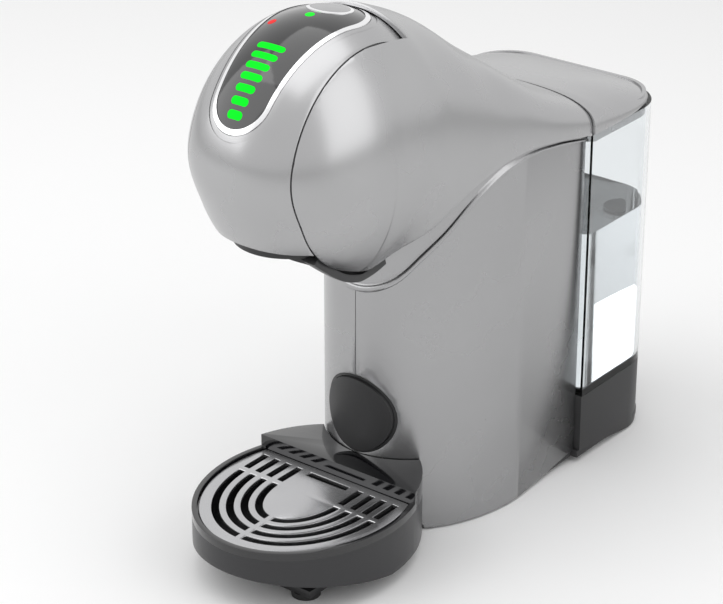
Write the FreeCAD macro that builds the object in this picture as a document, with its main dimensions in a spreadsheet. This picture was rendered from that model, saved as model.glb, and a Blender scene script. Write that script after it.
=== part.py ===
"""Pod coffee machine: ball head on a half-elliptical column, lift-off water tank behind, drip tray in front.

Millimetres. X is left to right and symmetric, -Y is the front, +Z is up. The origin is the middle of the
footprint on the table.
"""
import math
import os
import re

import FreeCAD
import Part
import Sketcher

SIZES = {
    # Overall box, and the ball head that sets its width and height.
    "overall_width": 112, "overall_depth": 290, "overall_height": 273,
    "head_radius": 65, "head_setback": 70, "shell_wall": 2.5,
    # Visor: the band of the ball between the two cheek seams, turning about the ball's own X axis.
    "seam_half": 31.5, "seam_gap": 0.5, "visor_drop": 102, "visor_tail": 120, "visor_cover": 4,
    "visor_plate": 2, "visor_plate_radius": 53, "deck_gap": 0.8, "liner_half": 24, "liner_thick": 2.2,
    "pivot_radius": 5, "pivot_boss": 9, "pivot_length": 17, "running_fit": 0.1,
    "gate_flat": 0.05,
    # Touch panel: two circles and their tangents, drawn square to the ball at panel_angle.
    "panel_angle": 65, "panel_low_radius": 13.5, "panel_low": 28.3,
    "panel_top_radius": 18.5, "panel_top": 29.5, "trim_width": 2, "bezel_width": 2.2,
    "panel_sink": 1.7, "panel_fit": 0.05, "trim_proud": 0.35, "board_depth": 5, "board_thick": 1.5,
    "board_inset": 2.5, "bar_first": 3.9, "bar_pitch": 5.45, "bar_height": 3.3,
    "bar_longest": 15.2, "bar_step": 1.2, "bar_count": 7, "icon_radius": 2.1, "red_side": 12.5, "red_up": 12.2,
    "green_side": 0.5, "green_up": 23, "liner_top": 24,
    "button_angle": 99, "button_radius": 9, "button_ring_width": 1.6, "button_depth": 3.5,
    # Upper shell: neck sections behind the ball, and the shoulder arc that ends it below.
    "cheek_wall": 2, "shoulder_radius": 186, "shoulder_back": 41.8, "shoulder_drop": 86.4,
    # Column and the collar that rolls over its top edge.
    "column_width": 100, "column_nose": 69, "column_setback": 98, "column_wall": 2.5, "centre_gap": 0.3,
    "collar_radius": 97.5, "collar_back": 29.5, "collar_drop": 90.1, "collar_thick": 1.4, "collar_fit": 0.2,
    "collar_lap": 8,
    # Base.
    "foot_height": 3, "foot_radius": 7, "foot_ahead": 32, "foot_behind": 20, "foot_side": 10,
    "base_thick": 4, "base_inset": 0.5, "tongue_half": 30, "tongue_ahead": 20,
    "screw_radius": 1.6, "screw_head": 3, "screw_length": 16, "boss_radius": 5.5, "boss_height": 22,
    # Brewing unit.
    "capsule_ahead": 20, "holder_drop": 36, "holder_height": 18, "holder_radius": 26, "capsule_radius": 23.2,
    "capsule_lip": 20, "holder_lip": 2, "rest_gap": 0.3, "drum_radius": 49, "drum_half": 28.2,
    "drum_plate": 1.6, "drum_floor": 5.7, "cover_outer": 57, "cover_gap": 0.5, "outlet_radius": 16,
    "bridge_rise": 14, "bridge_thick": 6, "post_radius": 6, "post_length": 37, "press_radius": 20,
    "press_thick": 5, "needle_radius": 1, "needle_reach": 2.8, "seal_outer": 14, "seal_inner": 8,
    "seal_thick": 1.4, "arm_half": 10, "arm_height": 12, "frame_back": 25, "frame_wall": 3,
    "holder_tail": 21,
    # Rinsing tool and its round socket in the column's front.
    "tool_height": 61, "tool_radius": 19.2, "socket_radius": 20.6, "socket_bore": 19.5, "socket_depth": 21,
    "socket_floor": 2, "tool_thick": 12, "tool_hub_radius": 8, "tool_proud": 1.5, "socket_fit": 0.2,
    # Water tank, its base and its lid.
    "tank_depth": 74, "tank_width": 107, "tank_wall": 2, "tank_gap": 0.6, "tank_floor": 38, "tank_corner": 26,
    "lid_drop": 74, "lid_height": 17.2, "lid_width": 111, "lid_corner": 28, "lid_wall": 2.5, "tank_inset": 1.6,
    "lid_plug": 6, "valve_back": 29, "valve_radius": 6, "valve_head": 9, "valve_height": 9,
    "socket_seal": 12, "tank_spigot": 9, "spigot_length": 6,
    # Drip tray and its grid.
    "tray_half": 51, "tray_reach": 61, "tray_height": 34, "tray_wall": 2.5, "tray_floor": 3, "tray_back": 40,
    "tray_chord": 22, "tray_slope": 10.5, "tray_clear": 0.8, "grid_thick": 2, "grid_inset": 3.4, "ledge_width": 3,
    "slot_width": 3.6, "slot_pitch": 7, "slot_bridge": 3.2, "slot_rear": 5, "slot_short": 12, "slot_rings": 4,
    # Works inside the column.
    "chassis_half": 2, "chassis_front": 29, "chassis_depth": 84, "chassis_foot": 8,
    "pump_side": 40, "pump_height": 44, "pump_lift": 40, "pump_tube": 9, "pump_outlet": 26, "pump_inlet": 8,
    "pump_ahead": 41, "mount_thick": 2, "plunger_radius": 5, "plunger_length": 34,
    "meter_radius": 15, "meter_height": 18, "meter_wall": 3, "rotor_hub": 3.4, "rotor_pin": 1.5,
    "heater_width": 38, "heater_depth": 44, "heater_height": 86, "heater_lift": 30, "bracket_thick": 4,
    "sensor_radius": 6, "sensor_thick": 3,
    "hose_radius": 4, "hose_bore": 2.5, "hose_rise": 135, "hose_bend": 12, "feed_height": 183,
    "board_ahead": 85, "board_width": 34, "board_height": 52, "board_lift": 114, "standoff_length": 4,
    "circuit_thick": 1.6, "gland_radius": 6, "gland_bore": 3.6, "gland_length": 9, "gland_height": 17,
    "gland_side": 32,
}

PLACES = {
    "front_y": "-overall_depth / 2",
    "rear_y": "overall_depth / 2",
    "head_y": "front_y + head_setback",
    "head_z": "overall_height - head_radius",
    "head_half": "overall_width / 2",
    "visor_z": "overall_height - visor_drop",
    "visor_half": "seam_half - seam_gap",
    "deck_y": "head_y - head_radius * cos(visor_tail * 1deg) - visor_cover",
    "tank_y": "rear_y - tank_depth",
    "nose_y": "front_y + column_setback",
    "arc_y": "nose_y + column_nose",
    "base_z": "foot_height + base_thick",
    "shoulder_y": "tank_y - shoulder_back",
    "shoulder_z": "overall_height - shoulder_drop - shoulder_radius",
    "collar_y": "tank_y - collar_back",
    "collar_z": "overall_height - collar_drop - collar_radius",
    "capsule_y": "head_y - capsule_ahead",
    "holder_z": "head_z - holder_drop",
    "press_z": "holder_z + holder_height + rest_gap",
    "floor_z": "holder_z - rest_gap",
    "bridge_z": "head_z + bridge_rise",
    "arm_z": "floor_z + drum_floor - 1",
    "chassis_y": "nose_y + chassis_front",
    "tray_y": "front_y + tray_reach",
    "tray_z": "base_z + rest_gap",
    "chord_y": "tray_y + tray_chord",
    "grid_z": "tray_height - grid_thick - 1",
    "tank_z": "tank_floor + rest_gap",
    "tank_front": "tank_y + tank_gap",
    "tank_rear": "rear_y - tank_inset",
    "lid_z": "overall_height - lid_drop - lid_height",
    "tank_top": "lid_z - rest_gap",
    "valve_y": "tank_y + valve_back",
    "pump_x": "chassis_half + mount_thick + pump_side / 2",
    "pump_y": "tank_y - pump_ahead",
    "heater_x": "-chassis_half - bracket_thick - heater_width / 2",
    "heater_top": "heater_lift + heater_height",
    "meter_middle": "base_z + meter_height / 2",
}

doc = FreeCAD.newDocument("pod_coffee_machine")
NODES = {}


def fill_sheet(name, cells):
    """Write one alias per row: plain numbers for sizes, formulas on them for places."""
    sheet = doc.addObject("Spreadsheet::Sheet", name)
    for row, (alias, text) in enumerate(cells.items(), 1):
        sheet.set(f"A{row}", alias)
        sheet.set(f"B{row}", str(text))
        sheet.setAlias(f"B{row}", alias)
    return sheet


def expand(text):
    """Turn the size and place names in an expression into references to their cells."""
    def cell(match):
        word = match.group(0)
        if word in SIZES:
            return "sizes." + word
        if word in PLACES:
            return "places." + word
        return word
    return re.sub(r"[a-z]+_[a-z_]+", cell, str(text))


sizes = fill_sheet("sizes", SIZES)
places = fill_sheet("places", {alias: "=" + re.sub(r"\bplaces\.", "", expand(text))
                               for alias, text in PLACES.items()})
doc.recompute()


def value(name):
    """A size or place as a number, for the few shapes that are set in code."""
    return float(sizes.get(name) if name in SIZES else places.get(name))


def bind(item, bindings):
    for path, text in bindings.items():
        item.setExpression(path, expand(text))
    return item


def base_point(x, y, z):
    return {"Placement.Base.x": x, "Placement.Base.y": y, "Placement.Base.z": z}


def turned(item, axis, degrees):
    item.Placement = FreeCAD.Placement(FreeCAD.Vector(), FreeCAD.Rotation(FreeCAD.Vector(*axis), degrees))
    return item


def box(x_range, y_range, z_range):
    """A box between two expressions on each axis."""
    item = doc.addObject("Part::Box", "box")
    bind(item, base_point(x_range[0], y_range[0], z_range[0]))
    spans = zip(("Length", "Width", "Height"), (x_range, y_range, z_range))
    return bind(item, {side: f"({high}) - ({low})" for side, (low, high) in spans})


def wide_box(half, y_range, z_range):
    """A box that is symmetric about X = 0."""
    return box((f"-({half})", half), y_range, z_range)


AXIS_TURN = {"X": ((0, 1, 0), 90), "Y": ((-1, 0, 0), 90), "Z": ((0, 0, 1), 0)}


def rod(axis, radius, length, x, y, z):
    """A cylinder that starts at a point and runs along +X, +Y or +Z."""
    item = turned(doc.addObject("Part::Cylinder", "rod"), *AXIS_TURN[axis])
    bind(item, {"Radius": radius, "Height": length})
    return bind(item, base_point(x, y, z))


BALLS = {}


def ball(inset):
    """The head's ellipsoid, drawn in by an inset: half an ellipse turned about X. Each inset is made once."""
    if inset in BALLS:
        return BALLS[inset]
    body = doc.addObject("PartDesign::Body", "ball")
    sketch = body.newObject("Sketcher::SketchObject", "half_ellipse")
    flat = [plane for plane in body.Origin.OriginFeatures if plane.Role == "XY_Plane"][0]
    sketch.AttachmentSupport = [(flat, "")]
    sketch.MapMode = "FlatFace"
    radius, half = value("head_radius"), value("head_half")
    ellipse = Part.Ellipse(FreeCAD.Vector(0, radius, 0), FreeCAD.Vector(half, 0, 0), FreeCAD.Vector())
    arc = sketch.addGeometry(Part.ArcOfEllipse(ellipse, -math.pi / 2, math.pi / 2))
    line = sketch.addGeometry(Part.LineSegment(FreeCAD.Vector(half, 0, 0), FreeCAD.Vector(-half, 0, 0)))
    sketch.exposeInternalGeometry(arc)
    long_axis, short_axis = line + 1, line + 2
    start, end, centre, x_axis = 1, 2, 3, -1
    sketch.addConstraint(Sketcher.Constraint("Coincident", arc, centre, x_axis, start))
    sketch.addConstraint(Sketcher.Constraint("Coincident", arc, end, line, start))
    sketch.addConstraint(Sketcher.Constraint("Coincident", arc, start, line, end))
    sketch.addConstraint(Sketcher.Constraint("PointOnObject", arc, start, x_axis))
    sketch.addConstraint(Sketcher.Constraint("PointOnObject", arc, end, x_axis))
    sketch.addConstraint(Sketcher.Constraint("Vertical", long_axis))
    length = sketch.addConstraint(Sketcher.Constraint("Distance", long_axis, 2 * radius))
    width = sketch.addConstraint(Sketcher.Constraint("Distance", short_axis, 2 * half))
    bind(sketch, {f"Constraints[{length}]": f"2 * (head_radius - ({inset}))",
                  f"Constraints[{width}]": f"2 * (head_half - ({inset}))"})
    turn = body.newObject("PartDesign::Revolution", "turn")
    turn.Profile = sketch
    turn.ReferenceAxis = (sketch, ["H_Axis"])
    turn.Angle = 360
    turned(body, (-1, 0, 0), 90)
    bind(body, base_point("0", "head_y", "head_z"))
    BALLS[inset] = body
    return body


def spline_ball(inset):
    """The ball at an inset as a spline surface: thin layers need it, to be drawn true over their whole width."""
    source = ball(inset)
    doc.recompute()
    item = doc.addObject("Part::Feature", "spline_ball")
    item.Shape = source.Shape.toNurbs()
    return item


def fuse(*items):
    item = doc.addObject("Part::MultiFuse", "fuse")
    item.Shapes = list(items)
    return item


def cut(base, *tools):
    """The base without the tools, cut one at a time."""
    left = base
    for tool in tools:
        item = doc.addObject("Part::Cut", "cut")
        item.Base = left
        item.Tool = tool
        left = item
    return left


def common(first, *others):
    """What all the items share, one pair at a time."""
    shared = first
    for other in others:
        item = doc.addObject("Part::Common", "common")
        item.Base = shared
        item.Tool = other
        shared = item
    return shared


def group(*items):
    """Separate solids that share one node."""
    item = doc.addObject("Part::Compound", "group")
    item.Links = list(items)
    return item


def node(name, item):
    """Name a finished sub-part: its Label becomes its file name."""
    item.Label = name
    NODES[name] = item
    return item


def ellipse_prism(half_x, half_y, middle_y, z_range):
    """An upright elliptical prism whose longer half axis runs along Y."""
    outline = turned(doc.addObject("Part::Ellipse", "ellipse"), (0, 0, 1), 90)
    bind(outline, {"MajorRadius": half_y, "MinorRadius": half_x})
    bind(outline, base_point("0", middle_y, z_range[0]))
    item = doc.addObject("Part::Extrusion", "prism")
    item.Base = outline
    item.DirMode = "Custom"
    item.Dir = FreeCAD.Vector(0, 0, 1)
    item.Solid = True
    return bind(item, {"LengthFwd": f"({z_range[1]}) - ({z_range[0]})"})


def column_plan(offset, z_range, rear="tank_y"):
    """The column's outline as a solid: half an ellipse in front, straight sides behind."""
    half = f"column_width / 2 + ({offset})"
    nose = ellipse_prism(half, f"column_nose + ({offset})", "arc_y", z_range)
    front = common(nose, wide_box(half, (f"nose_y - ({offset}) - 1", "arc_y"), z_range))
    return fuse(front, wide_box(half, ("arc_y", rear), z_range))


def shoulder(shrink):
    """The big cylinder below the upper shell's S-shaped lower edge."""
    return rod("X", f"shoulder_radius - ({shrink})", "2 * overall_width", "-overall_width", "shoulder_y",
               "shoulder_z")


def radial(item, degrees, side="0", along="0", out="0"):
    """Stand a feature on the head's centre with its own Z pointing out of the ball.

    degrees is the angle up from straight ahead; side, along and out move the feature in its own X, Y and Z.
    """
    turned(item, (1, 0, 0), 10)
    sine, cosine = f"sin({degrees} * 1deg)", f"cos({degrees} * 1deg)"
    bind(item, base_point(side, f"head_y + ({along}) * {sine} - ({out}) * {cosine}",
                          f"head_z + ({along}) * {cosine} + ({out}) * {sine}"))
    return bind(item, {"Placement.Rotation.Angle": f"90 - {degrees}"})


def radial_rod(radius, degrees, side="0", along="0"):
    """A rod from inside the head straight out through the skin."""
    item = doc.addObject("Part::Cylinder", "rod")
    bind(item, {"Radius": radius, "Height": "head_radius"})
    return radial(item, degrees, side, along, "head_radius / 2")


def head_slab(half):
    """Everything of the head between two planes square to X."""
    reach = "(head_radius + 20)"
    return wide_box(half, (f"head_y - {reach}", f"head_y + {reach}"),
                    (f"head_z - {reach}", f"head_z + {reach}"))


def skin(outer_inset, inner_inset):
    """A layer of the ball between two insets."""
    return cut(ball(outer_inset), ball(inner_inset))


def cross_rod(radius, start, stop):
    """Two rods along the head's X axis, one on each side, from start to stop."""
    span = f"(({stop}) - ({start}))"
    right = rod("X", radius, span, start, "head_y", "head_z")
    left = rod("X", radius, span, f"-({stop})", "head_y", "head_z")
    return left, right


# Touch panel outlines: two circles joined by their common tangents.
def drop_outline(grow):
    low, top = f"(panel_low_radius + ({grow}))", f"(panel_top_radius + ({grow}))"
    lean = "((panel_top_radius - panel_low_radius) / (panel_low + panel_top))"
    flat = f"sqrt(1 - {lean} ^ 2)"
    wedge = doc.addObject("Part::Wedge", "tangents")
    bind(wedge, {"Xmin": f"-{low} * {flat}", "Xmax": f"{low} * {flat}", "Ymin": f"-panel_low - {low} * {lean}",
                 "X2min": f"-{top} * {flat}", "X2max": f"{top} * {flat}", "Ymax": f"panel_top - {top} * {lean}",
                 "Zmin": "head_radius / 2", "Z2min": "head_radius / 2",
                 "Zmax": "head_radius * 1.5", "Z2max": "head_radius * 1.5"})
    return fuse(radial_rod(low, "panel_angle", along="-panel_low"), radial(wedge, "panel_angle"),
                radial_rod(top, "panel_angle", along="panel_top"))


def bar_prisms(grow):
    """The level bars' outlines, each a slot with round ends, shorter towards the bottom of the panel."""
    prisms = []
    for step in range(int(value("bar_count"))):
        radius = f"(bar_height / 2 + ({grow}))"
        half = f"((bar_longest - {step} * bar_step - bar_height) / 2)"
        along = f"-bar_first - {step} * bar_pitch"
        middle = doc.addObject("Part::Box", "bar")
        bind(middle, {"Length": f"2 * {half}", "Width": f"2 * {radius}", "Height": "head_radius"})
        radial(middle, "panel_angle", f"-{half}", f"{along} - {radius}", "head_radius / 2")
        ends = [radial_rod(radius, "panel_angle", f"{sign} * {half}", along) for sign in ("-1", "1")]
        prisms.append(fuse(middle, *ends))
    return prisms


def icon_rods(grow):
    red = radial_rod(f"icon_radius + ({grow})", "panel_angle", "-red_side", "red_up")
    green = radial_rod(f"icon_radius + ({grow})", "panel_angle", "green_side", "green_up")
    return red, green


def button_rod(radius):
    """A rod on the start button's axis, which leans back past the top of the ball."""
    item = turned(doc.addObject("Part::Cylinder", "rod"), (-1, 0, 0), 9)
    bind(item, {"Radius": radius, "Height": "head_radius"})
    out = "head_radius / 2"
    bind(item, base_point("0", f"head_y - {out} * cos(button_angle * 1deg)",
                          f"head_z + {out} * sin(button_angle * 1deg)"))
    return bind(item, {"Placement.Rotation.Angle": "button_angle - 90"})


def build_visor():
    """Front band of the ball with two side plates that turn on the pivots, cut flat below."""
    band = common(skin("0", "shell_wall"), head_slab("visor_half"))
    plates = cross_rod("visor_plate_radius", "visor_half - visor_plate", "visor_half")
    hubs = cross_rod("pivot_boss", "visor_half - visor_plate", "visor_half")
    sector = turned(doc.addObject("Part::Box", "sector"), (-1, 0, 0), 30)
    reach, tilt = "(head_radius + 20)", "(visor_tail - 90)"
    bind(sector, {"Length": "overall_width", "Width": reach, "Height": f"2 * {reach}"})
    sine, cosine = f"sin({tilt} * 1deg)", f"cos({tilt} * 1deg)"
    bind(sector, base_point("-head_half", f"head_y - {reach} * ({cosine} + {sine})",
                            f"head_z + {reach} * ({sine} - {cosine})"))
    bind(sector, {"Placement.Rotation.Angle": tilt})
    above = wide_box("overall_width", ("front_y - 20", "rear_y"), ("visor_z", "overall_height + 20"))
    form = fuse(common(fuse(band, *plates), sector, above), *hubs)
    recess = common(skin("-10", "panel_sink"), drop_outline("trim_width + bezel_width"))
    bores = cross_rod("pivot_radius + running_fit", "visor_half - 2 * visor_plate", "seam_half + 1")
    node("visor_shell", cut(form, recess, button_rod("button_radius + running_fit"), *bores,
                            *bar_prisms("panel_fit"), *icon_rods("panel_fit")))
    liner_inset = "(shell_wall + collar_fit)"
    layer = cut(spline_ball(liner_inset), spline_ball(f"{liner_inset} + liner_thick"))
    node("visor_liner", common(layer, head_slab("liner_half"),
                               wide_box("liner_half", ("front_y - 20", "head_y"),
                                        ("visor_z + 1", "head_z + liner_top"))))


def build_panel():
    """Silver bezel, bright trim and gloss panel in the visor's recess, with lights and the button's ring."""
    seat = "panel_sink - panel_fit"
    node("panel_bezel", cut(common(skin("0", seat), drop_outline("trim_width + bezel_width - panel_fit")),
                            drop_outline("trim_width + panel_fit")))
    node("panel_trim", cut(common(skin("-trim_proud", seat), drop_outline("trim_width - panel_fit")),
                           drop_outline("panel_fit")))
    ring_outer = "(button_radius + running_fit + button_ring_width)"
    node("touch_panel", cut(common(skin("0", seat), drop_outline("-panel_fit")),
                            button_rod(f"{ring_outer} + panel_fit"), *bar_prisms("panel_fit"),
                            *icon_rods("panel_fit")))
    node("button_ring", common(cut(button_rod(ring_outer), button_rod("button_radius + running_fit")),
                               skin("-trim_proud", seat)))
    glow = skin("-panel_fit", "board_depth - panel_fit")
    node("level_bars", group(*[common(prism, glow) for prism in bar_prisms("0")]))
    for name, prism in zip(("red_status_light", "green_status_light"), icon_rods("0")):
        node(name, common(prism, skin("-panel_fit", "board_depth - panel_fit")))
    layer = cut(spline_ball("board_depth"), spline_ball("board_depth + board_thick"))
    node("touch_board", common(layer, drop_outline("-board_inset")))
    node("start_button", common(button_rod("button_radius"), skin("-trim_proud", "button_depth")))


# Neck stations, from the deck's front edge to the tank: share of the way from the tank, crest and middle below
# the top, half width, depth below the middle, and power of the outline (2 is an ellipse, more is squarer).
NECK = ((1, 3.5, 65, 51.5, 72, 2), (0.928, 6.7, 68, 51.5, 84, 2), (0.757, 17.5, 76, 51, 106, 2.1),
        (0.434, 44, 87, 51.8, 112, 2.8), (0.221, 60.5, 89, 53, 112, 3.6), (0, 74, 91, 53.5, 112, 4.4))
HOLLOW_START = 0.91
HALF_STEPS = 10


def section(y, middle, half_width, rise, drop, power):
    """One cross-section of the neck, in a plane square to Y: an upper and a lower half."""
    halves = []
    for first_turn, height, way in ((math.pi, rise, 1), (0, drop, -1)):
        points = []
        for step in range(HALF_STEPS + 1):
            turn = first_turn - math.pi * step / HALF_STEPS
            side, up = math.cos(turn), round(abs(math.sin(turn)), 9)
            across = math.copysign(abs(side) ** (2 / power), side)
            points.append(FreeCAD.Vector(half_width * across, y, middle + way * height * up ** (2 / power)))
        curve = Part.BSplineCurve()
        upward = FreeCAD.Vector(0, 0, way * height * math.pi)
        curve.interpolate(points, Parameters=[step / HALF_STEPS for step in range(HALF_STEPS + 1)],
                          InitialTangent=upward, FinalTangent=-upward, Scale=False)
        halves.append(curve.toShape())
    return Part.Wire(halves)


def neck_form(inset):
    """The neck and rear deck as one smooth loft, drawn in by an inset."""
    run = value("tank_y") - value("deck_y")
    wires = []
    for share, crest, middle, half_width, drop, power in NECK:
        y = value("tank_y") - share * run - (inset if share == 0 else 0)
        wires.append(section(y, value("overall_height") - middle, half_width - inset, middle - crest - inset,
                             drop - inset, power))
    form = doc.addObject("Part::Feature", "neck_form")
    form.Shape = Part.makeLoft(wires, True, False, False, 3)
    return form


def build_upper_shell():
    """Cheeks, neck and rear deck in one shell, with the slot that the visor turns in and its pivot bosses."""
    full = ("-foot_height", "overall_height + 20")
    deep = ("front_y - 20", "rear_y")
    hollow = common(neck_form(value("shell_wall")),
                    wide_box("overall_width", (f"tank_y - (tank_y - deck_y) * {HOLLOW_START}", "rear_y"), full))
    cheek_hollow = cut(ball("shell_wall"), wide_box("seam_half + cheek_wall", deep, full))
    slot = wide_box("seam_half", ("front_y - 20", "deck_y"), full)
    sweep = common(ball("-deck_gap"), wide_box("seam_half", deep, full))
    shell = cut(fuse(ball("0"), neck_form(0)), slot, sweep, cheek_hollow, hollow, shoulder("0"),
                *cross_rod("pivot_boss", "head_half - gate_flat", "head_half + 1"))
    bosses = cross_rod("pivot_boss", "seam_half", "head_half - shell_wall / 2")
    bores = cross_rod("pivot_radius + running_fit / 2", "seam_half - 1", "drum_half + pivot_length + rest_gap")
    node("upper_shell", cut(fuse(shell, *bosses), *bores))
    pin_start = "drum_half + collar_fit"
    node("visor_pivots", group(*cross_rod("pivot_radius", pin_start, f"{pin_start} + pivot_length")))


def build_column():
    """Two half shells joined on the centre line, and the collar that rolls over their top edge."""
    full = ("base_z", "overall_height")
    walls = cut(column_plan("0", full), column_plan("-column_wall", full, "tank_y - column_wall"))
    boss_x = "(column_width / 2 - column_wall - boss_radius + 1)"
    screw_spots = [(f"{sign} * {boss_x}", y) for sign in ("-1", "1") for y in ("arc_y - 8", "tank_y - 14")]
    bosses = [rod("Z", "boss_radius", "boss_height", x, y, "base_z") for x, y in screw_spots]
    screw_bores = [rod("Z", "screw_radius + panel_fit", "screw_length + 2", x, y, "foot_height - 1")
                   for x, y in screw_spots]
    trimmed = common(fuse(walls, *bosses), column_region("collar_lap"), shoulder("1"))
    socket_hole = rod("Y", "socket_radius + socket_fit", "socket_depth + 5", "0", "nose_y - 5", "tool_height")
    shells = cut(trimmed, socket_hole, hose_hole(), *screw_bores)
    half = "column_width"
    tall = ("0", "overall_height")
    deep = ("front_y", "rear_y")
    node("column_left_shell", common(shells, box((f"-{half}", "-centre_gap / 2"), deep, tall)))
    node("column_right_shell", common(shells, box(("centre_gap / 2", half), deep, tall)))
    ring = cut(column_plan("collar_fit + collar_thick", full), column_plan("collar_fit", full))
    node("neck_collar", cut(common(ring, shoulder("rest_gap")), column_region("0")))
    plate_z = ("foot_height", "base_z")
    tongue = wide_box("tongue_half", ("front_y + tongue_ahead", "arc_y"), plate_z)
    rear = wide_box("tank_width / 2 - base_inset", ("tank_y - 1", "rear_y - 2"), plate_z)
    heads = [rod("Z", "screw_head + panel_fit", "screw_head / 2", x, y, "foot_height") for x, y in screw_spots]
    node("base_plate", cut(fuse(column_plan("-base_inset", plate_z), tongue, rear), *screw_bores, *heads))
    screws = [fuse(rod("Z", "screw_head", "screw_head / 2 - panel_fit", x, y, "foot_height"),
                   rod("Z", "screw_radius", "screw_length", x, y, "foot_height")) for x, y in screw_spots]
    node("base_screws", group(*screws))
    foot_spots = [(f"{sign} * {x}", y) for sign in ("-1", "1")
                  for x, y in (("(tongue_half - foot_radius - 1)", "front_y + foot_ahead"),
                               ("(column_width / 2 - foot_side)", "rear_y - foot_behind"))]
    node("rubber_feet", group(*[rod("Z", "foot_radius", "foot_height", x, y, "0") for x, y in foot_spots]))


def column_region(grow):
    """Everything below the collar's lower edge, raised by an amount."""
    arc = rod("X", f"collar_radius + ({grow})", "2 * overall_width", "-overall_width", "collar_y", "collar_z")
    reach = f"(collar_radius + ({grow}))"
    below = wide_box("overall_width", (f"collar_y - {reach}", f"collar_y + {reach}"), ("-foot_height", "collar_z"))
    return fuse(arc, below)


def hose_hole():
    """The way for the tank's hose through the column's back wall and the tank base's front wall."""
    return rod("Y", "hose_radius + running_fit", "12", "pump_x", "tank_y - 6", "meter_middle")


def build_brewing():
    """Fixed drum with floor, back wall and bridge; the cover under it; capsule holder; needle carriage."""
    drum_width = "2 * drum_half"
    drum = rod("X", "drum_radius", drum_width, "-drum_half", "head_y", "head_z")
    plates = cross_rod("drum_radius", "drum_half - drum_plate", "drum_half")
    rear_y = ("head_y + frame_back - frame_wall", "head_y + frame_back")
    depth = ("head_y - drum_radius", rear_y[1])
    floor = wide_box("drum_half", depth, ("floor_z - drum_floor", "floor_z"))
    rear = wide_box("drum_half", rear_y, ("floor_z - drum_floor", "bridge_z + bridge_thick"))
    bridge = wide_box("drum_half", depth, ("bridge_z", "bridge_z + bridge_thick"))
    arm = wide_box("arm_half", (rear_y[0], "chassis_y - collar_fit"), ("arm_z", "arm_z + arm_height"))
    outlet = rod("Z", "outlet_radius", "floor_z - overall_height / 3 + 1", "0", "capsule_y", "overall_height / 3")
    guide = rod("Z", "post_radius + running_fit", "2 * bridge_thick", "0", "capsule_y", "bridge_z - 1")
    unit = fuse(common(fuse(floor, rear, bridge), drum), *plates, arm)
    node("brew_frame", cut(unit, outlet, guide))
    cover_half = "(seam_half - rest_gap)"
    ring = cut(rod("X", "cover_outer", f"2 * {cover_half}", f"-{cover_half}", "head_y", "head_z"),
               rod("X", "drum_radius + cover_gap", "2 * seam_half", "-seam_half", "head_y", "head_z"))
    window = wide_box("seam_half", ("front_y", "nose_y - collar_thick - 1"), ("0", "visor_z - cover_gap"))
    node("outlet_cover", cut(common(ring, window), outlet))
    holder = fuse(rod("Z", "holder_radius", "holder_height", "0", "capsule_y", "holder_z"),
                  wide_box("holder_radius", ("capsule_y", "head_y + holder_tail"),
                           ("holder_z", "holder_z + holder_height / 3")))
    seat = rod("Z", "capsule_radius", "holder_height", "0", "capsule_y", "holder_z + holder_lip")
    opening = rod("Z", "capsule_lip", "holder_height", "0", "capsule_y", "holder_z - 1")
    node("capsule_holder", cut(holder, seat, opening))
    press = fuse(rod("Z", "press_radius", "press_thick", "0", "capsule_y", "press_z"),
                 rod("Z", "post_radius", "post_length + press_thick", "0", "capsule_y", "press_z"))
    node("needle_carriage", cut(press, rod("Z", "needle_radius + panel_fit / 2", "press_thick", "0", "capsule_y",
                                           "press_z - 1")))
    node("needle", rod("Z", "needle_radius", "needle_reach + press_thick - seal_thick", "0", "capsule_y",
                       "press_z - needle_reach"))
    seal = rod("Z", "seal_outer", "seal_thick", "0", "capsule_y", "press_z - seal_thick")
    seal_hole = rod("Z", "seal_inner", "2 * seal_thick", "0", "capsule_y", "press_z - 1.5 * seal_thick")
    node("capsule_seal", cut(seal, seal_hole))


def build_tool():
    """Round rinsing tool kept in a socket in the column's front; both follow the column's curve."""
    tall = ("base_z", "overall_height")
    start = ("0", "nose_y - 5", "tool_height")
    cup = common(rod("Y", "socket_radius", "socket_depth + 5", *start), column_plan("0", tall))
    bore = rod("Y", "socket_bore", "socket_depth + 5 - socket_floor", *start)
    node("tool_socket", cut(cup, bore))
    disc = common(rod("Y", "tool_radius", "tool_thick + 5 - tool_proud", *start), column_plan("tool_proud", tall))
    hub = rod("Y", "tool_hub_radius", "socket_depth - 2 * socket_floor - rest_gap", "0", "nose_y + socket_floor",
              "tool_height")
    node("rinsing_tool", fuse(disc, hub))


def rounded_box(half, y_range, z_range, radius):
    """A box whose two rear upright corners are round."""
    front, back = y_range
    length = f"({z_range[1]}) - ({z_range[0]})"
    corners = [rod("Z", radius, length, f"{sign} * (({half}) - ({radius}))", f"({back}) - ({radius})", z_range[0])
               for sign in ("-1", "1")]
    item = fuse(wide_box(half, (front, f"({back}) - ({radius})"), z_range),
                wide_box(f"({half}) - ({radius})", y_range, z_range), *corners)
    item.Refine = True
    return item


def rounded_cup(half, y_range, z_range, radius, wall):
    """The inside of a rounded box, drawn in by its wall, over its own height range."""
    return rounded_box(f"({half}) - ({wall})", (f"({y_range[0]}) + ({wall})", f"({y_range[1]}) - ({wall})"), z_range,
                       f"({radius}) - ({wall})")


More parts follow.
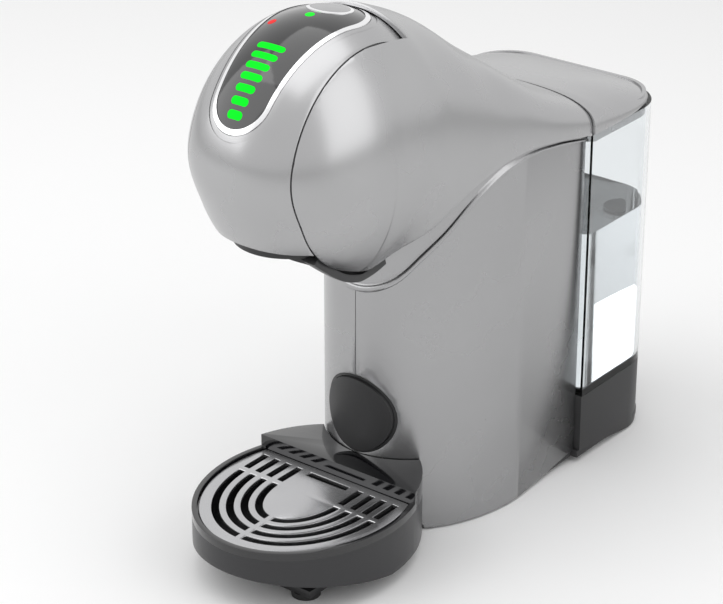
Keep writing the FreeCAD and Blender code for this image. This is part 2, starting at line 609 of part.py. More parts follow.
def build_tank():
    """Clear tank with a valve in its floor, the base that it stands on, and its lift-off lid."""
    half, plan = "tank_width / 2", ("tank_front", "tank_rear")
    spot = ("0", "valve_y")
    outside = rounded_box(half, plan, ("tank_z", "tank_top"), "tank_corner")
    inside = rounded_cup(half, plan, ("tank_z + tank_wall + 1", "tank_top + 9"), "tank_corner", "tank_wall")
    spigot = rod("Z", "tank_spigot", "spigot_length + 1", *spot, "tank_z - spigot_length")
    stem_bore = rod("Z", "valve_radius / 2 + running_fit", "2 * valve_height", *spot, "tank_z - spigot_length - 1")
    node("water_tank", cut(fuse(cut(outside, inside), spigot), stem_bore))
    head_z = "tank_z + tank_wall + 1 + panel_fit"
    node("tank_valve", fuse(rod("Z", "valve_head", "valve_radius / 2", *spot, head_z),
                            rod("Z", "valve_radius / 2", "valve_height", *spot, f"{head_z} - valve_height + 1")))
    base_plan = ("tank_y + rest_gap", "tank_rear")
    shell = cut(rounded_box(half, base_plan, ("base_z", "tank_floor"), "tank_corner"),
                rounded_cup(half, base_plan, ("base_z - 1", "tank_floor - lid_wall"), "tank_corner", "lid_wall"))
    cup = rod("Z", "socket_seal + lid_wall", "spigot_length + 4", *spot, "tank_floor - spigot_length - 5")
    cup_bore = rod("Z", "socket_seal + panel_fit", "spigot_length + 6", *spot, "tank_floor - spigot_length - 2")
    gland_spot = ("gland_side", "rear_y - gland_length", "gland_height")
    node("tank_base", cut(fuse(shell, cup), cup_bore, hose_hole(),
                          rod("Y", "gland_radius + panel_fit", "gland_length", *gland_spot)))
    seal = rod("Z", "socket_seal", "spigot_length / 2", *spot, "tank_floor - spigot_length")
    seal_hole = rod("Z", "tank_spigot + rest_gap", "spigot_length", *spot, "tank_floor - spigot_length - 1")
    node("tank_seal", cut(seal, seal_hole))
    node("cord_gland", cut(rod("Y", "gland_radius", "gland_length", *gland_spot),
                           rod("Y", "gland_bore", "2 * gland_length", gland_spot[0], "rear_y - 1.5 * gland_length",
                               gland_spot[2])))
    lid_half, lid_plan = "lid_width / 2", ("tank_front", "rear_y")
    lid_top = "lid_z + lid_height"
    cap = cut(rounded_box(lid_half, lid_plan, ("lid_z", lid_top), "lid_corner"),
              rounded_cup(lid_half, lid_plan, ("lid_z - 1", f"{lid_top} - lid_wall"), "lid_corner", "lid_wall"))
    plug_z = ("lid_z - lid_plug", f"{lid_top} - lid_wall / 2")
    plug_wall = "tank_wall + 2 * rest_gap"
    plug = cut(rounded_cup(half, plan, plug_z, "tank_corner", plug_wall),
               rounded_cup(half, plan, ("lid_z - lid_plug - 1", f"{lid_top} - lid_wall"), "tank_corner",
                           f"{plug_wall} + tank_wall"))
    node("tank_lid", fuse(cap, plug))


def tray_plan(inset, rear, z_range):
    """The tray's outline drawn in by an inset: half an ellipse in front, straight legs behind."""
    half = f"tray_half - {inset}"
    nose = ellipse_prism(half, f"tray_reach - {inset}", "tray_y", z_range)
    return fuse(common(nose, wide_box(half, ("front_y - 1", "tray_y"), z_range)),
                wide_box(half, ("tray_y", rear), z_range))


def below_slope(rise):
    """Everything below the tray's underside, which climbs to the front, raised by an amount."""
    item = turned(doc.addObject("Part::Box", "slope"), (1, 0, 0), 170)
    bind(item, {"Length": "2 * overall_width", "Width": "2 * tray_reach", "Height": "tray_height"})
    bind(item, {"Placement.Rotation.Angle": "180 - tray_slope"})
    return bind(item, base_point("-overall_width", "tray_y", f"tray_z + ({rise})"))


def build_tray():
    """Elliptical tray with a straight back wall, a hollow block behind it that fits the column, and a slotted grid."""
    tall = ("0", "tray_back + 9")
    in_half, in_reach = "(tray_half - tray_wall)", "(tray_reach - tray_wall)"
    tub = ellipse_prism("tray_half", "tray_reach", "tray_y", ("tray_z", "tray_height"))
    back_z = ("tray_z", "tray_back")
    block = common(ellipse_prism("tray_half", "tray_reach", "tray_y", back_z),
                   wide_box("tray_half", ("chord_y", "arc_y"), back_z))
    under_z = ("0", "tray_back - tray_wall")
    under = cut(common(ellipse_prism(in_half, in_reach, "tray_y", under_z),
                       wide_box("tray_half", ("chord_y + tray_wall", "arc_y"), under_z)),
                column_plan("tray_clear + tray_wall", under_z))
    bowl_z = ("tray_z + tray_floor", "tray_back + 9")
    bowl = cut(common(ellipse_prism(in_half, in_reach, "tray_y", bowl_z),
                      wide_box("tray_half", ("front_y", "chord_y"), bowl_z)), below_slope("tray_floor"))
    tray = cut(fuse(tub, block), column_plan("tray_clear", tall), bowl, under, below_slope("0"))
    ledge_z = ("grid_z - ledge_width", "grid_z - panel_fit")
    ledge = cut(common(ellipse_prism("tray_half - tray_wall / 2", "tray_reach - tray_wall / 2", "tray_y", ledge_z),
                       wide_box("tray_half", ("front_y", "chord_y + tray_wall / 2"), ledge_z)),
                common(ellipse_prism(f"{in_half} - ledge_width", f"{in_reach} - ledge_width", "tray_y", tall),
                       wide_box("tray_half", ("front_y", "chord_y - ledge_width"), tall)))
    node("drip_tray", fuse(tray, ledge))
    plate_z = ("grid_z", "grid_z + grid_thick")
    plate = common(ellipse_prism("tray_half - grid_inset", "tray_reach - grid_inset", "tray_y", plate_z),
                   wide_box("tray_half", ("front_y", "chord_y - rest_gap"), plate_z))
    slot_end = "chord_y - slot_rear"
    slots = []
    for step in range(int(value("slot_rings"))):
        inset = f"(grid_inset - 1 + slot_pitch * {step + 1})"
        slots.append(cut(tray_plan(inset, slot_end, tall), tray_plan(f"({inset} + slot_width)", slot_end, tall)))
    bridges = (wide_box("slot_bridge / 2", ("front_y", "nose_y"), tall),
               wide_box("tray_half", ("tray_y - slot_bridge / 2", "tray_y + slot_bridge / 2"), tall))
    rear_slot = wide_box("slot_short", (f"{slot_end} - slot_width", slot_end), tall)
    node("drip_grid", cut(plate, cut(fuse(*slots), *bridges), rear_slot))


def hose(points, bend):
    """A hose with its bore along straight runs joined by tangent arcs."""
    corners = [FreeCAD.Vector(*point) for point in points]
    edges = []
    start = corners[0]
    for before, corner, after in zip(corners, corners[1:], corners[2:]):
        back = (before - corner).normalize()
        ahead = (after - corner).normalize()
        half_turn = math.acos(back.dot(ahead)) / 2
        trim = bend / math.tan(half_turn)
        middle = (back + ahead).normalize()
        apex = corner + middle * (bend / math.sin(half_turn) - bend)
        enter, leave = corner + back * trim, corner + ahead * trim
        edges.append(Part.LineSegment(start, enter).toShape())
        edges.append(Part.Arc(enter, apex, leave).toShape())
        start = leave
    edges.append(Part.LineSegment(start, corners[-1]).toShape())
    path = Part.Wire(edges)
    direction = corners[1] - corners[0]

    def tube(radius):
        ring = Part.Wire([Part.Circle(corners[0], direction, radius).toShape()])
        return path.makePipeShell([ring], True, False)

    item = doc.addObject("Part::Feature", "hose")
    item.Shape = tube(value("hose_radius")).cut(tube(value("hose_bore")))
    return item


def build_works():
    """Chassis plate with the pump and its meter on the right, the heater on the left, and the hoses."""
    top = "arm_z + arm_height"
    depth = ("chassis_y", "chassis_y + chassis_depth")
    plate = fuse(wide_box("chassis_half", depth, ("base_z", top)),
                 wide_box("chassis_foot", ("chassis_y + chassis_foot", "chassis_y + chassis_depth - chassis_foot"),
                          ("base_z", "base_z + bracket_thick")))
    crossing = rod("X", "hose_radius + 1", "4 * chassis_half", "-2 * chassis_half", "pump_y", "hose_rise")
    node("chassis", cut(plate, crossing))
    pump_box = box(("pump_x - pump_side / 2", "pump_x + pump_side / 2"),
                   ("pump_y - pump_side / 2", "pump_y + pump_side / 2"), ("pump_lift", "pump_lift + pump_height"))
    on_pump = ("pump_x", "pump_y")
    barrel = rod("Z", "pump_tube", "pump_height + pump_inlet + pump_outlet", *on_pump, "pump_lift - pump_inlet")
    chamber = rod("Z", "plunger_radius + running_fit", "plunger_length + 10", *on_pump, "pump_lift + 2")
    channel = rod("Z", "hose_bore", "pump_height + 2 * pump_outlet + pump_inlet", *on_pump,
                  "pump_lift - 2 * pump_inlet")
    node("pump_body", cut(fuse(pump_box, barrel), chamber, channel))
    node("pump_plunger", rod("Z", "plunger_radius", "plunger_length", *on_pump, "pump_lift + 7"))
    node("pump_mount", box(("chassis_half", "chassis_half + mount_thick"), ("pump_y - 15", "pump_y + 15"),
                           ("pump_lift + 10", "pump_lift + pump_height - 10")))
    case = cut(rod("Z", "meter_radius", "meter_height", *on_pump, "base_z"),
               rod("Z", "meter_radius - meter_wall", "meter_height - 2 * meter_wall", *on_pump, "base_z + meter_wall"),
               rod("Z", "hose_bore", "2 * meter_wall", *on_pump, "base_z + meter_height - meter_wall - 1"))
    pin = rod("Z", "rotor_pin", "meter_height - 2 * meter_wall - 2", *on_pump, "base_z + meter_wall - 1")
    port = rod("Y", "hose_bore", "meter_radius", "pump_x", "pump_y + meter_radius / 2", "meter_middle")
    node("flow_meter", cut(fuse(case, pin), port))
    blade_z = ("base_z + meter_wall + rest_gap", "base_z + meter_height - meter_wall - 3")
    span = "(meter_radius - meter_wall - 1)"
    blades = fuse(rod("Z", "rotor_hub", f"{blade_z[1]} - ({blade_z[0]})", *on_pump, blade_z[0]),
                  box((f"pump_x - {span}", f"pump_x + {span}"), ("pump_y - 0.6", "pump_y + 0.6"), blade_z),
                  box(("pump_x - 0.6", "pump_x + 0.6"), (f"pump_y - {span}", f"pump_y + {span}"), blade_z))
    node("flow_rotor", cut(blades, rod("Z", "rotor_pin + panel_fit", "meter_height", *on_pump, "base_z")))
    block = box(("heater_x - heater_width / 2", "heater_x + heater_width / 2"),
                ("pump_y - heater_depth / 2", "pump_y + heater_depth / 2"), ("heater_lift", "heater_top"))
    stubs = [rod("Z", "hose_radius + 1", "5", x, y, "heater_top - 1")
             for x, y in (("heater_x", "pump_y"), ("heater_x + 5", "pump_y - 16"))]
    node("heater_block", fuse(block, *stubs))
    node("heater_bracket", box(("-chassis_half - bracket_thick", "-chassis_half"), ("pump_y - 15", "pump_y + 15"),
                               ("heater_lift + 10", "heater_top - 16")))
    sensor_y = "pump_y - heater_depth / 2 - sensor_thick"
    node("thermostats", group(*[rod("Y", "sensor_radius", "sensor_thick", "heater_x", sensor_y, z)
                                for z in ("heater_lift + 2 * sensor_radius", "heater_top - 4 * sensor_radius")]))
    board_x = "chassis_half + standoff_length"
    board_y = ("tank_y - board_ahead", "tank_y - board_ahead + board_width")
    board_z = ("board_lift", "board_lift + board_height")
    node("board_standoffs", group(*[rod("X", "hose_bore", "standoff_length", "chassis_half", y, z)
                                    for y in (f"{board_y[0]} + 4", f"{board_y[1]} - 4")
                                    for z in (f"{board_z[0]} + 4", f"{board_z[1]} - 4")]))
    face = f"{board_x} + circuit_thick"
    node("control_board", box((board_x, face), board_y, board_z))
    near_y, low_z = board_y[0], board_z[0]
    transformer = box((face, f"{face} + 18"), (f"{near_y} + 6", f"{near_y} + 26"), (f"{low_z} + 6", f"{low_z} + 26"))
    relay = box((face, f"{face} + 12"), (f"{near_y} + 4", f"{near_y} + 16"), (f"{low_z} + 32", f"{low_z} + 48"))
    capacitor = rod("X", "5", "14", face, f"{near_y} + 25", f"{low_z} + 40")
    node("board_parts", group(transformer, relay, capacitor))
    bend = value("hose_bend")
    pump_x, pump_y = value("pump_x"), value("pump_y")
    meter_top = value("base_z") + value("meter_height")
    outlet_z = value("pump_lift") + value("pump_height") + value("pump_outlet")
    stub_z = value("heater_top") + 4
    rise, feed = value("hose_rise"), value("feed_height")
    heater_x = value("heater_x")
    cup_z = value("tank_floor") - value("spigot_length") - 5
    level = value("meter_middle")
    valve_y = value("valve_y")
    node("tank_hose", hose([(0, valve_y, cup_z), (0, valve_y, level), (pump_x, valve_y - 20, level),
                            (pump_x, pump_y + value("meter_radius"), level)], bend / 2))
    node("meter_hose", rod_hose(on_pump, "base_z + meter_height", "pump_lift - pump_inlet"))
    node("pump_hose", hose([(pump_x, pump_y, outlet_z), (pump_x, pump_y, rise), (heater_x, pump_y, rise),
                            (heater_x, pump_y, stub_z)], bend))
    node("feed_hose", hose([(heater_x + 5, pump_y - 16, stub_z), (heater_x + 5, pump_y - 16, feed),
                            (heater_x + 5, value("head_y") + value("frame_back"), feed)], bend))


def rod_hose(spot, low, high):
    length = f"({high}) - ({low})"
    return cut(rod("Z", "hose_radius", length, *spot, low),
               rod("Z", "hose_bore", f"{length} + 2", *spot, f"{low} - 1"))


def write_parts():
    """Refuse a failed feature or a bad solid, then write each sub-part under its Label."""
    doc.recompute()
    failed = [item.Name for item in doc.Objects if {"Invalid", "Error"} & set(item.State)]
    bad = [name for name, item in NODES.items()
           if item.Shape.isNull() or not item.Shape.isValid() or not item.Shape.Solids]
    if failed or bad:
        raise RuntimeError(f"failed features {failed}, bad sub-parts {bad}")
    os.makedirs("parts", exist_ok=True)
    for name, item in NODES.items():
        item.Shape.exportStep(f"parts/{item.Label}.step")
        print(f"{name}: {len(item.Shape.Solids)} solids, {item.Shape.Volume:.0f} mm3")


build_visor()
build_panel()
build_upper_shell()
build_column()
build_brewing()
build_tool()
build_tank()
build_tray()
build_works()
write_parts()
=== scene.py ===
"""Pod coffee machine: finishes and visible skins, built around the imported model."""
import math

import bpy
import numpy as np
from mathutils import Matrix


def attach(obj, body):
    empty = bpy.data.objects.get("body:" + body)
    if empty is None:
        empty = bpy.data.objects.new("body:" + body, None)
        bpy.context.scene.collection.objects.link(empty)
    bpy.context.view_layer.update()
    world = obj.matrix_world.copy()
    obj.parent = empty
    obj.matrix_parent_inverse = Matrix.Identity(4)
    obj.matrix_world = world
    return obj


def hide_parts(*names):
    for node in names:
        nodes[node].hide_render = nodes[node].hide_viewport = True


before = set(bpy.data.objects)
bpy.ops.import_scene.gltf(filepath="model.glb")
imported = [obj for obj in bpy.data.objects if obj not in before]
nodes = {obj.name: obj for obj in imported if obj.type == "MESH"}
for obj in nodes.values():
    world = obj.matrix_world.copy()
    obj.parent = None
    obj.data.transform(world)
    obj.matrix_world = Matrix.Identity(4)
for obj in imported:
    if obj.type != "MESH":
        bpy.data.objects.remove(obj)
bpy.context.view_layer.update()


# Base plate and feet.
# A dark moulded floor closes the machine from below and is held by four zinc screws. Its front tongue carries
# the drip tray, and four soft rubber pads are glued into it at the corners.
def moulded(name, colour, roughness, metallic=0.0, grain=700.0, depth=0.06, patchy=0.05, coat=0.0):
    """Moulded plastic: a faint cloudiness in colour and gloss, and a fine grain in the surface."""
    material = bpy.data.materials.new(name)
    material.use_nodes = True
    tree = material.node_tree
    shader = tree.nodes["Principled BSDF"]
    shader.inputs["Metallic"].default_value = metallic
    shader.inputs["Coat Weight"].default_value = coat
    shader.inputs["Coat Roughness"].default_value = 0.08
    coords = tree.nodes.new("ShaderNodeTexCoord")
    clouds = tree.nodes.new("ShaderNodeTexNoise")
    clouds.inputs["Scale"].default_value = 22.0
    clouds.inputs["Detail"].default_value = 4.0
    tree.links.new(coords.outputs["Object"], clouds.inputs["Vector"])
    tint = tree.nodes.new("ShaderNodeMix")
    tint.data_type = "RGBA"
    tint.inputs[6].default_value = [channel * (1 - patchy) for channel in colour] + [1.0]
    tint.inputs[7].default_value = [min(1.0, channel * (1 + patchy)) for channel in colour] + [1.0]
    tree.links.new(clouds.outputs["Fac"], tint.inputs[0])
    tree.links.new(tint.outputs[2], shader.inputs["Base Color"])
    gloss = tree.nodes.new("ShaderNodeMapRange")
    gloss.inputs["To Min"].default_value = roughness * 0.88
    gloss.inputs["To Max"].default_value = roughness * 1.12
    tree.links.new(clouds.outputs["Fac"], gloss.inputs["Value"])
    tree.links.new(gloss.outputs["Result"], shader.inputs["Roughness"])
    speck = tree.nodes.new("ShaderNodeTexNoise")
    speck.inputs["Scale"].default_value = grain
    speck.inputs["Detail"].default_value = 2.0
    tree.links.new(coords.outputs["Object"], speck.inputs["Vector"])
    bump = tree.nodes.new("ShaderNodeBump")
    bump.inputs["Strength"].default_value = depth
    bump.inputs["Distance"].default_value = 0.0004
    tree.links.new(speck.outputs["Fac"], bump.inputs["Height"])
    tree.links.new(bump.outputs["Normal"], shader.inputs["Normal"])
    return material


def paint(material, *names):
    """Give CAD nodes a finish."""
    for name in names:
        nodes[name].data.materials.clear()
        nodes[name].data.materials.append(material)


def sheet(name, rows, ring=False):
    """A mesh of quads over rows of points in millimetres. A ring joins the ends of each row."""
    points = np.asarray(rows, float) / 1000
    count, width = points.shape[:2]
    faces = []
    for row in range(count - 1):
        for column in range(width if ring else width - 1):
            near, far = row * width + column, row * width + (column + 1) % width
            faces.append((near, far, far + width, near + width))
    mesh = bpy.data.meshes.new(name)
    mesh.from_pydata(points.reshape(-1, 3).tolist(), [], faces)
    piece = bpy.data.objects.new(name, mesh)
    bpy.context.scene.collection.objects.link(piece)
    choose(piece)
    return piece


def choose(*pieces):
    """Select only these objects, the first one active."""
    bpy.ops.object.select_all(action="DESELECT")
    for piece in pieces:
        piece.select_set(True)
    bpy.context.view_layer.objects.active = pieces[0]


def apply(piece, kind, **settings):
    """Add a modifier and apply it."""
    choose(piece)
    modifier = piece.modifiers.new(kind.lower(), kind)
    for key, setting in settings.items():
        setattr(modifier, key, setting)
    bpy.ops.object.modifier_apply(modifier=modifier.name)


def soft_edge(piece, width, segments=2):
    """Round the sharp edges of a mesh by a width in millimetres."""
    apply(piece, "BEVEL", width=width / 1000, segments=segments, limit_method="ANGLE",
          angle_limit=math.radians(50))


def thicken(piece, wall, offset=-1, even=False):
    """Give a sheet a wall in millimetres, on its inner side unless an offset says otherwise."""
    apply(piece, "SOLIDIFY", thickness=wall / 1000, offset=offset, use_even_offset=even)


def tidy_mesh(piece):
    """Merge doubled corners, turn the faces outwards and go back to object mode."""
    choose(piece)
    bpy.ops.object.mode_set(mode="EDIT")
    bpy.ops.mesh.select_all(action="SELECT")
    bpy.ops.mesh.remove_doubles(threshold=0.00001)
    bpy.ops.mesh.normals_make_consistent(inside=False)
    bpy.ops.object.mode_set(mode="OBJECT")


def settle(piece, material, body, slot, *stands_for, angle=35):
    """Give a finished piece its shading, finish, body and the nodes that it stands for; its slot is not used.
    """
    choose(piece)
    bpy.ops.object.shade_smooth_by_angle(angle=math.radians(angle))
    piece.data.materials.clear()
    piece.data.materials.append(material)
    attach(piece, body)
    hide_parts(*stands_for)


def close_ends(piece):
    """Cover the open ends of a ring of quads."""
    choose(piece)
    bpy.ops.object.mode_set(mode="EDIT")
    bpy.ops.mesh.select_mode(type="EDGE")
    bpy.ops.mesh.select_all(action="DESELECT")
    bpy.ops.mesh.select_non_manifold(extend=False)
    bpy.ops.mesh.edge_face_add()
    bpy.ops.object.mode_set(mode="OBJECT")
    tidy_mesh(piece)


def merged(name, node):
    """A welded copy of a CAD node, without its stored normals."""
    piece = nodes[node].copy()
    piece.data = nodes[node].data.copy()
    bpy.context.scene.collection.objects.link(piece)
    piece.parent = None
    piece.name = name
    choose(piece)
    bpy.ops.mesh.customdata_custom_splitnormals_clear()
    tidy_mesh(piece)
    return piece


def move(piece, test, shift):
    """Shift the corners of a mesh that pass a test, by a function of their place in millimetres."""
    for vertex in piece.data.vertices:
        place = np.array(vertex.co) * 1000
        if test(place):
            vertex.co = (place + shift(place)) / 1000


FRONT_BEND = 3


def round_box(half, front, back, radius, height, count=16):
    """A ring of points around a box with round rear corners and small front ones, at a height."""
    ring = []
    for corner_x, corner_y, first in ((1, 1, 0), (-1, 1, 90), (-1, -1, 180), (1, -1, 270)):
        bend = radius if corner_y > 0 else FRONT_BEND
        arc = np.radians(np.linspace(first, first + 90, count))
        middle = (corner_x * (half - bend), back - bend if corner_y > 0 else front + bend)
        ring.append(np.stack([middle[0] + bend * np.cos(arc), middle[1] + bend * np.sin(arc),
                              np.full(count, height)], 1))
    return np.concatenate(ring)


dark_moulding = moulded("dark_moulding", (0.020, 0.020, 0.021), 0.42, grain=1500, depth=0.12)
paint(dark_moulding, "base_plate", "tool_socket", "outlet_cover", "tank_base")
plate = merged("base_plate_skin", "base_plate")
TONGUE_FRONT = -119.8
# Half width, front, back and rear corner radius of the floor's outline. The front lies clear of the tongue.
FLOOR_OUTLINE = (53.2, -150, 143.2, 24)
move(plate, lambda place: place[1] < TONGUE_FRONT, lambda place: np.array((0, TONGUE_FRONT - place[1], 0)))
corners = sheet("corner_cutter", [round_box(*FLOOR_OUTLINE, height) for height in (-5, 5, 30)], ring=True)
close_ends(corners)
apply(plate, "BOOLEAN", object=corners, operation="INTERSECT", solver="EXACT")
bpy.data.objects.remove(corners)
soft_edge(plate, 0.5)
settle(plate, dark_moulding, "machine_body", "dark_plastic", "base_plate")
foot_rubber = moulded("foot_rubber", (0.02, 0.02, 0.02), 0.75, grain=1100, depth=0.3)
paint(foot_rubber, "rubber_feet", "pump_mount", "cord_gland")
zinc = moulded("zinc", (0.60, 0.60, 0.62), 0.35, metallic=1.0, grain=2500, depth=0.1)
paint(zinc, "base_screws", "visor_pivots")

# Upper shell.
# Cheeks, neck and rear deck are one lacquered moulding. It follows the ball in front, sweeps back and down
# to the tank, and ends below in an S-shaped rim that lies over the collar.
silver_lacquer = moulded("silver_lacquer", (0.42, 0.42, 0.425), 0.27, metallic=0.94, grain=1400, depth=0.02)
HEAD_Y, HEAD_Z, HEAD_RADIUS, HEAD_HALF, HEAD_POWER = -75.0, 208.0, 65.0, 50.0, 2.29
SEAM, DECK_Y, DRAWN_IN = 29.5, -46.5, 0.095


def ease(share):
    """A smooth step from 0 to 1."""
    share = np.clip(share, 0, 1)
    return share ** 3 * (share * (6 * share - 15) + 10)


def draw_in(turn):
    """The head's share of its radius at an angle around its axis, in degrees up from straight ahead."""
    return 1 - DRAWN_IN * ease((16 - turn) / 43) + DRAWN_IN * ease((-60 - turn) / 55)


def head_radius(side):
    """The head's radius about its axis at a distance from the middle plane."""
    return HEAD_RADIUS * np.sqrt(np.clip(1 - (np.abs(side) / HEAD_HALF) ** HEAD_POWER, 0, 1))


def around_head(side, turn, radius):
    """A point at a radius and an angle in degrees around the head's axis."""
    return np.stack([side, HEAD_Y - radius * np.cos(np.radians(turn)),
                     HEAD_Z + radius * np.sin(np.radians(turn))], -1)


def head_point(side, turn, inset=0.0):
    """A point on the head at a distance from the middle plane and an angle in degrees."""
    return around_head(side, turn, head_radius(side) * draw_in(turn) - inset)


def smooth_table(at, table):
    """Read rows of a table at values of its first column, with smooth curves between the rows."""
    table = np.array(table, float)
    knots, rows = table[:, 0], table[:, 1:]
    slopes = np.gradient(rows, knots, axis=0)
    slot = np.clip(np.searchsorted(knots, at) - 1, 0, len(knots) - 2)
    span = (knots[slot + 1] - knots[slot])[:, None]
    share = ((at - knots[slot])[:, None]) / span
    return ((2 * share ** 3 - 3 * share ** 2 + 1) * rows[slot]
            + (share ** 3 - 2 * share ** 2 + share) * span * slopes[slot]
            + (3 * share ** 2 - 2 * share ** 3) * rows[slot + 1]
            + (share ** 3 - share ** 2) * span * slopes[slot + 1])


def pick(piece, test, kind="FACE"):
    """Go into edit mode with the faces or edges selected whose middle, in millimetres, passes a test."""
    choose(piece)
    bpy.ops.object.mode_set(mode="EDIT")
    bpy.ops.mesh.select_mode(type=kind)
    bpy.ops.mesh.select_all(action="DESELECT")
    bpy.ops.object.mode_set(mode="OBJECT")
    mesh = piece.data
    places = np.array([vertex.co for vertex in mesh.vertices]) * 1000
    for item in mesh.polygons if kind == "FACE" else mesh.edges:
        item.select = bool(test(places[list(item.vertices)].mean(0)))
    bpy.ops.object.mode_set(mode="EDIT")


# Columns: y, top, middle, half width, power across, power up, depth below the middle.
NECK = ((HEAD_Y, HEAD_Z + HEAD_RADIUS, HEAD_Z, HEAD_HALF, HEAD_POWER, 2, HEAD_RADIUS),
        (-62, 271.7, 208, 50.9, 2.2, 2, 63.7),
        (-46.5, 269.5, 207.5, 51.6, 2.05, 2, 80),
        (-38, 266.3, 205, 51.2, 2, 2, 92),
        (-18, 256.8, 197, 50.7, 2.1, 2.1, 114),
        (0, 243, 190, 50.8, 2.4, 2.4, 114),
        (20, 229.2, 186, 51.6, 2.8, 2.8, 114),
        (45, 212.8, 184, 53, 3, 3, 114),
        (71, 199.8, 182, 53.5, 3.1, 3.1, 114))
# Height of the shell's lower rim along the machine.
SHELL_RIM = ((-140, 60), (-100, 110), (-80, 149), (-72, 157.5), (-66, 162), (-50.7, 170.2), (-32, 180.8),
             (-7, 187.2), (16, 189.4), (45, 186.6), (72, 180.8))
SHELL_FRONT, SHELL_BACK = -131, 71
back_rows = np.linspace(HEAD_Y, SHELL_BACK, 74)
front_rows = np.linspace(SHELL_FRONT, HEAD_Y - 1.5, 40)
swell = np.sqrt(1 - ((front_rows - HEAD_Y) / HEAD_RADIUS) ** 2)
steady = np.ones_like(swell)
front_table = np.stack([HEAD_Z + HEAD_RADIUS * swell, HEAD_Z * steady, HEAD_HALF * swell ** (2 / HEAD_POWER),
                        HEAD_POWER * steady, 2 * steady, HEAD_RADIUS * swell], 1)
shell_table = np.concatenate([front_table, smooth_table(back_rows, NECK)])
shell_rows = []
shell_places = np.concatenate([front_rows, back_rows])
for y, (top, middle, half, across, upward, depth) in zip(shell_places, shell_table):
    def ring_points(turns):
        """Points around the shell's section at this y."""
        side = half * np.sign(np.cos(turns)) * np.abs(np.cos(turns)) ** (2 / across)
        lift = np.abs(np.sin(turns)) ** (2 / upward)
        height = middle + np.where(np.sin(turns) >= 0, (top - middle) * lift, -depth * lift)
        turn = np.degrees(np.arctan2(height - HEAD_Z, HEAD_Y - y))
        factor = draw_in(turn)
        return np.stack([side, HEAD_Y + (y - HEAD_Y) * factor, HEAD_Z + (height - HEAD_Z) * factor], -1)
    # The section starts where it first rises above the rim.
    trial = np.linspace(-math.pi / 2, 0.8, 4000)
    points = ring_points(trial)
    rim = smooth_table(np.clip(points[:, 1], SHELL_RIM[0][0], SHELL_RIM[-1][0]), SHELL_RIM)[:, 0]
    start = trial[np.argmax(points[:, 2] > rim)]
    shell_rows.append(ring_points(np.linspace(start, math.pi - start, 161)))
upper_shell = sheet("upper_shell_skin", shell_rows)
for middle, way in (((SEAM / 1000, 0, 0), (1, 0, 0)), ((-SEAM / 1000, 0, 0), (1, 0, 0)),
                    ((0, DECK_Y / 1000, 0), (0, 1, 0))):
    pick(upper_shell, lambda place: place[1] < DECK_Y + 2.5 and (way[0] or abs(place[0]) < SEAM + 2))
    bpy.ops.mesh.bisect(plane_co=middle, plane_no=way)
    bpy.ops.object.mode_set(mode="OBJECT")
pick(upper_shell, lambda place: abs(place[0]) < SEAM and place[1] < DECK_Y)
bpy.ops.mesh.delete(type="FACE")
bpy.ops.object.mode_set(mode="OBJECT")
tidy_mesh(upper_shell)
thicken(upper_shell, 2, even=True)
soft_edge(upper_shell, 0.6)
settle(upper_shell, silver_lacquer, "machine_body", "satin_silver", "upper_shell")

# Visor.
# The front band of the head between the two seams. It is drawn in below, ends in a rolled lip, and has an
# opening for the touch panel. Its side plates turn on the pivots.
LIP_Z, VISOR_HALF, VISOR_TAIL = 175.5, SEAM - 0.5, 120
across = np.linspace(-VISOR_HALF, VISOR_HALF, 49)
trial = np.linspace(-60, 0, 1201)
visor_columns = []
for side in across:
    heights = HEAD_Z + head_radius(side) * draw_in(trial) * np.sin(np.radians(trial))
    lowest = trial[np.argmax(heights > LIP_Z)]
    turns = np.linspace(lowest, VISOR_TAIL, 110)
    visor_columns.append(head_point(np.full_like(turns, side), turns))
visor = sheet("visor_skin", visor_columns)
tidy_mesh(visor)
thicken(visor, 3.2, even=True)
pick(visor, lambda place: place[2] < LIP_Z + 0.25, "EDGE")
bpy.ops.mesh.bevel(offset=0.0026, segments=4)
bpy.ops.object.mode_set(mode="OBJECT")
soft_edge(visor, 0.5)
PANEL_ANGLE = math.radians(65)
# Radius and place along the panel of its two end circles, and the margin of the visor's opening around them.
TOP_BEND, TOP_AT, LOW_BEND, LOW_AT, OPENING_MARGIN = 18.5, 29.5, 13.5, -28.3, 4.25
OUTWARD = np.array((0, -math.cos(PANEL_ANGLE), math.sin(PANEL_ANGLE)))
ALONG = np.array((0, math.sin(PANEL_ANGLE), math.cos(PANEL_ANGLE)))


def drop_ring(grow, depth, count=48):
    """The panel's outline of two circles and their tangents, at a depth along its outward direction."""
    lean = math.asin((TOP_BEND - LOW_BEND) / (TOP_AT - LOW_AT))
    top = np.linspace(-lean, math.pi + lean, count)
    low = np.linspace(math.pi + lean, 2 * math.pi - lean, count)
    arcs = ((TOP_BEND + grow, TOP_AT, top), (LOW_BEND + grow, LOW_AT, low))
    flat = np.concatenate([np.stack([bend * np.cos(arc), at + bend * np.sin(arc)], 1)
                           for bend, at, arc in arcs])
    hinge = np.array((0, HEAD_Y, HEAD_Z))
    return hinge + OUTWARD * depth + ALONG * flat[:, 1:] + np.array((1, 0, 0)) * flat[:, :1]


